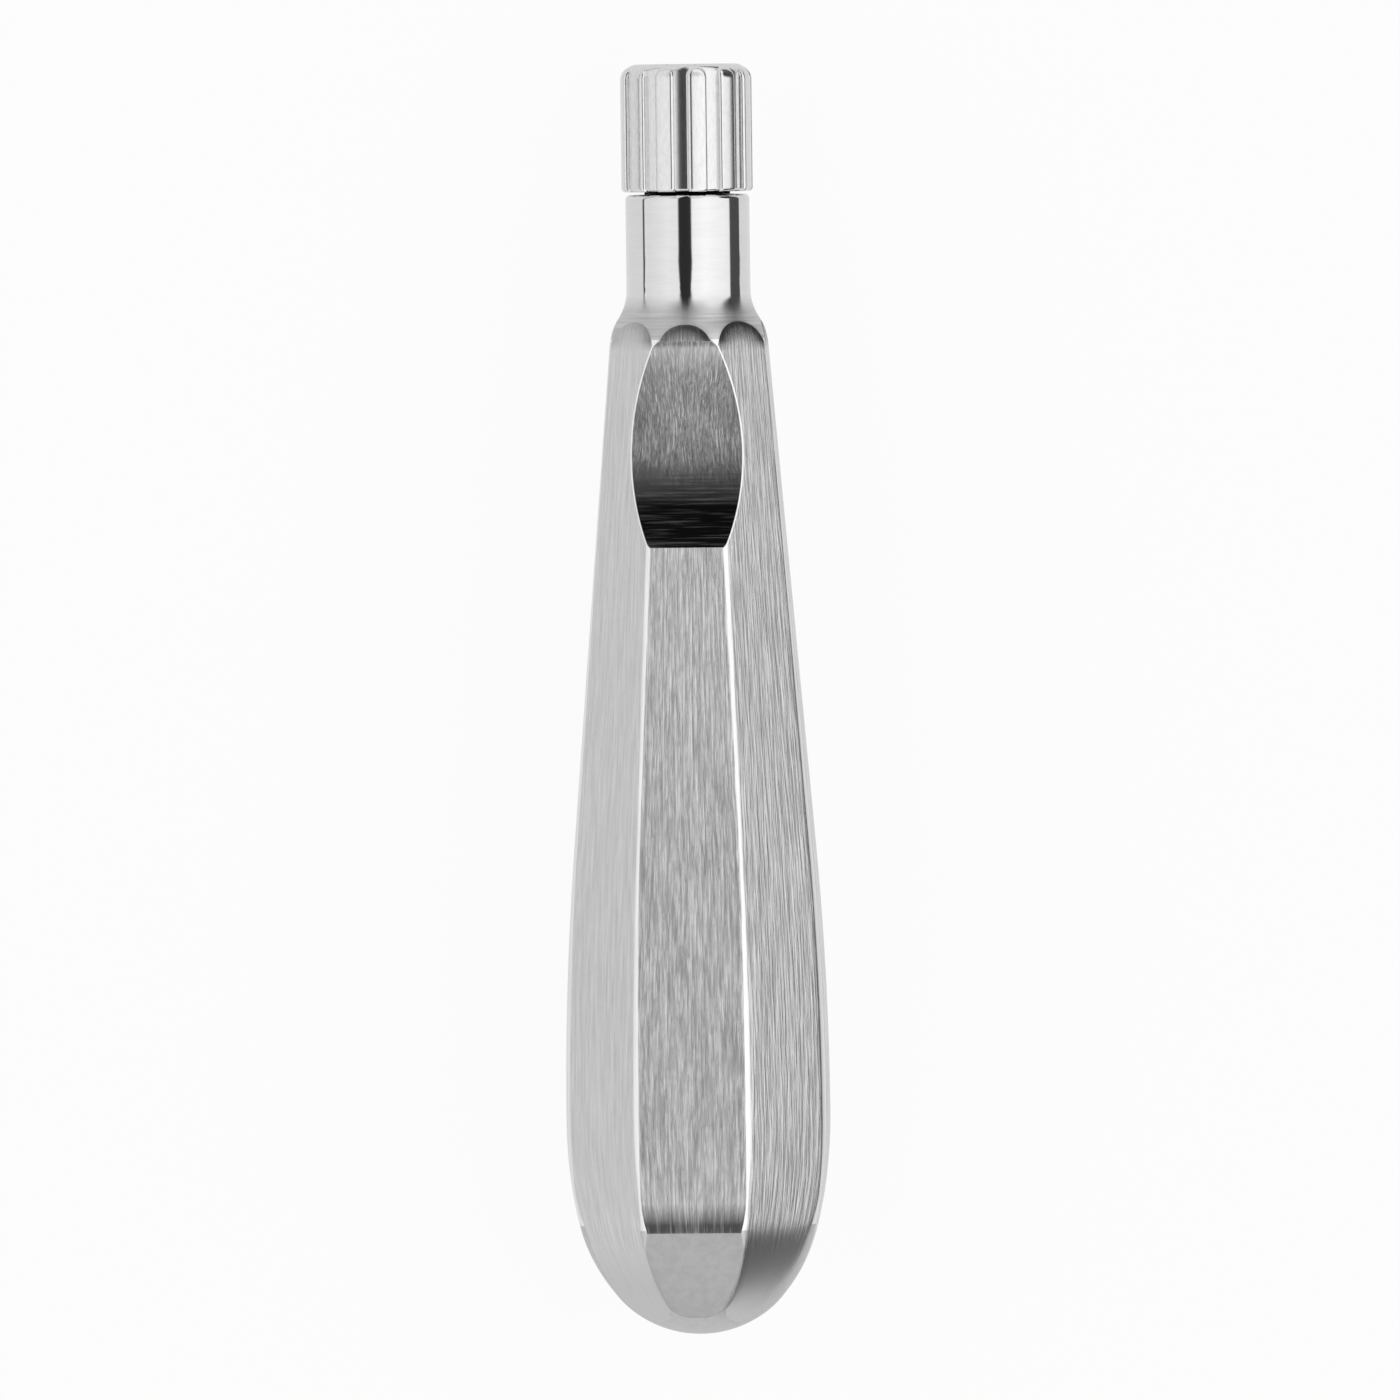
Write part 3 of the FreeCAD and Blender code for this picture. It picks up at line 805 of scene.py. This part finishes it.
def makeCamera():
    camera = bpy.data.objects.new("camera", bpy.data.cameras.new("camera"))
    bpy.context.collection.objects.link(camera)
    turn, tilt, roll = [math.radians(view[name]) for name in ("turn", "tilt", "roll")]
    back = Vector((math.sin(turn), math.sin(tilt), 1)).normalized()
    right = Vector((math.sin(roll), math.cos(roll), 0)).cross(back).normalized()
    up = back.cross(right)
    place = Vector((0, 0, axisZ)) + right * view["right"] + back * view["distance"]
    axes = Matrix((right, up, back)).transposed().to_4x4()
    camera.matrix_world = Matrix.Translation(place * mm) @ axes
    camera.data.sensor_width = view["sensor"]
    camera.data.lens = view["sensor"] * view["distance"] / view["width"]
    camera.data.clip_start = view["clipStart"] * mm
    camera.data.clip_end = view["clipEnd"] * mm
    bpy.context.scene.camera = camera


makeCamera()


# The studio: grey levels by the angle from straight up, in degrees, across the handle and along it

studio = {
    "lightAcross": [(-180, 0.9), (-110, 0.93), (-90.2, 0.93), (-89.6, 0.05), (-85.4, 0.05), (-84.8, 0.88),
                    (-77, 0.84), (-55, 0.9), (-36, 0.98), (-14, 0.96), (9, 1.05), (24, 1.14), (36, 1.18),
                    (55, 1.12), (77, 1.06), (87, 1.0), (88, 0.08), (118, 0.08), (121, 0.8), (180, 0.9)],
    "lightAlong": [(-90, 0.9), (-62, 1.0), (-35, 1.05), (0, 1.0), (90, 0.95)],
    # the dark gap over the middle of the handle, and how far it reaches toward the butt
    "gapAcross": [(-180, 0), (-15.5, 0), (-13.5, 0.97), (8.5, 0.97), (10.5, 0), (180, 0)],
    "gapAlong": [(-90, 0.1), (-42, 0.1), (-24, 1), (90, 1)],
    # the dark hood past the nut, which shows in the steep end of the scoop
    "hoodAcross": [(-180, 0), (-42, 0), (-30, 1), (30, 1), (42, 0), (180, 0)],
    "hoodAlong": [(-90, 0), (18, 0), (34, 0.3), (54, 0.3), (61, 0.02), (90, 0)],
    # round dark flags low on the right: the way to the middle, and the cosines at their edges
    "flags": [((0.67, -0.74, 0.02), 0.95, 0.925), ((0.88, 0.47, 0.0), 0.97, 0.95)], "flagDepth": 0.98,
    # the white pad under the handle ends a little to its right, in mm, which only the steel shows
    "padEdge": 34.0, "padBlend": 4.0, "padLevel": 0.8, "beyondLevel": 0.08,
    # the floor, 6 m wide, and its share of plain white for the camera: what is left shows the shadow
    "floorColour": "#F6F6F6", "floorRoughness": 0.9, "floorSpecular": 0.1, "cutOut": 0.92, "floorSize": 6,
}


def makeFloor():
    deselectAll()
    bpy.ops.mesh.primitive_plane_add(size=studio["floorSize"], location=(0, 0, cadBox[0][2]))
    floor = bpy.context.object
    floor.name = "floor"
    material, tree = newMaterial("whitePaperFloor")
    shader = addNode(tree, "ShaderNodeBsdfPrincipled", inputs={
        "Base Color": srgb(studio["floorColour"]), "Roughness": studio["floorRoughness"],
        "Specular IOR Level": studio["floorSpecular"]})
    ray = addNode(tree, "ShaderNodeLightPath")
    place = addNode(tree, "ShaderNodeTexCoord").outputs["Object"]
    rightward = addNode(tree, "ShaderNodeSeparateXYZ", inputs={0: place}).outputs[0]
    edge = studio["padEdge"]
    pad = addNode(tree, "ShaderNodeMapRange", inputs={
        0: rightward, 1: edge * mm, 2: (edge + studio["padBlend"]) * mm,
        3: studio["padLevel"], 4: studio["beyondLevel"]}).outputs[0]
    seen = addNode(tree, "ShaderNodeMath", {"operation": "ADD", "use_clamp": True}, {
        0: ray.outputs["Is Camera Ray"], 1: ray.outputs["Is Transmission Ray"]}).outputs[0]
    level = addNode(tree, "ShaderNodeMix", {"data_type": "FLOAT"}, {0: seen, 2: pad, 3: 1.0}).outputs[0]
    plain = addNode(tree, "ShaderNodeEmission", inputs={"Strength": level})
    share = addNode(tree, "ShaderNodeMath", {"operation": "MULTIPLY_ADD", "use_clamp": True}, {
        0: seen, 1: studio["cutOut"], 2: ray.outputs["Is Glossy Ray"]}).outputs[0]
    mixed = addNode(tree, "ShaderNodeMixShader", inputs={
        0: share, 1: shader.outputs[0], 2: plain.outputs[0]})
    addNode(tree, "ShaderNodeOutputMaterial", inputs={"Surface": mixed.outputs[0]})
    floor.data.materials.append(material)


makeFloor()


def levelByAngle(tree, angle, stops):
    # grey level by an angle in radians, through the stops in order
    low, high = stops[0][0], stops[-1][0]
    share = addNode(tree, "ShaderNodeMapRange", inputs={
        0: angle, 1: math.radians(low), 2: math.radians(high), 3: 0.0, 4: 1.0}).outputs[0]
    ramp = addNode(tree, "ShaderNodeValToRGB", inputs={0: share})
    elements = ramp.color_ramp.elements
    while len(elements) > 1:
        elements.remove(elements[-1])
    elements[0].position = 0
    elements[0].color = (stops[0][1],) * 3 + (1,)
    for stop, level in stops[1:]:
        element = elements.new((stop - low) / (high - low))
        element.color = (level,) * 3 + (1,)
    return ramp.outputs[0]


def makeWorld():
    world = bpy.data.worlds.new("studio")
    bpy.context.scene.world = world
    world.use_nodes = True
    tree = world.node_tree
    tree.nodes.clear()
    way = addNode(tree, "ShaderNodeTexCoord").outputs["Generated"]
    x, y, z = addNode(tree, "ShaderNodeSeparateXYZ", inputs={0: way}).outputs
    across = addNode(tree, "ShaderNodeMath", {"operation": "ARCTAN2"}, {0: x, 1: z}).outputs[0]
    along = addNode(tree, "ShaderNodeMath", {"operation": "ARCSINE"}, {0: y}).outputs[0]
    level, gap, hood = [
        addNode(tree, "ShaderNodeMath", {"operation": "MULTIPLY"}, {
            0: levelByAngle(tree, across, studio[name + "Across"]),
            1: levelByAngle(tree, along, studio[name + "Along"])}).outputs[0]
        for name in ("light", "gap", "hood")]
    shades = [gap, hood]
    for middle, inner, outer in studio["flags"]:
        near = addNode(tree, "ShaderNodeVectorMath", {"operation": "DOT_PRODUCT"},
                       {0: way, 1: Vector(middle).normalized()}).outputs["Value"]
        shades.append(addNode(tree, "ShaderNodeMapRange", inputs={
            0: near, 1: outer, 2: inner, 3: 0.0, 4: studio["flagDepth"]}).outputs[0])
    for shade in shades:
        left = addNode(tree, "ShaderNodeMath", {"operation": "SUBTRACT"}, {0: 1.0, 1: shade}).outputs[0]
        level = addNode(tree, "ShaderNodeMath", {"operation": "MULTIPLY"}, {0: level, 1: left}).outputs[0]
    # the camera sees plain white, and the steel sees the studio
    ray = addNode(tree, "ShaderNodeLightPath")
    shown = addNode(tree, "ShaderNodeMix", {"data_type": "FLOAT"},
                    {0: ray.outputs["Is Camera Ray"], 2: level, 3: 1.0}).outputs[0]
    background = addNode(tree, "ShaderNodeBackground", inputs={"Color": (1, 1, 1, 1), "Strength": shown})
    addNode(tree, "ShaderNodeOutputWorld", inputs={"Surface": background.outputs[0]})


makeWorld()
bpy.context.scene.view_settings.view_transform = "Standard"
print("camera and studio ready")
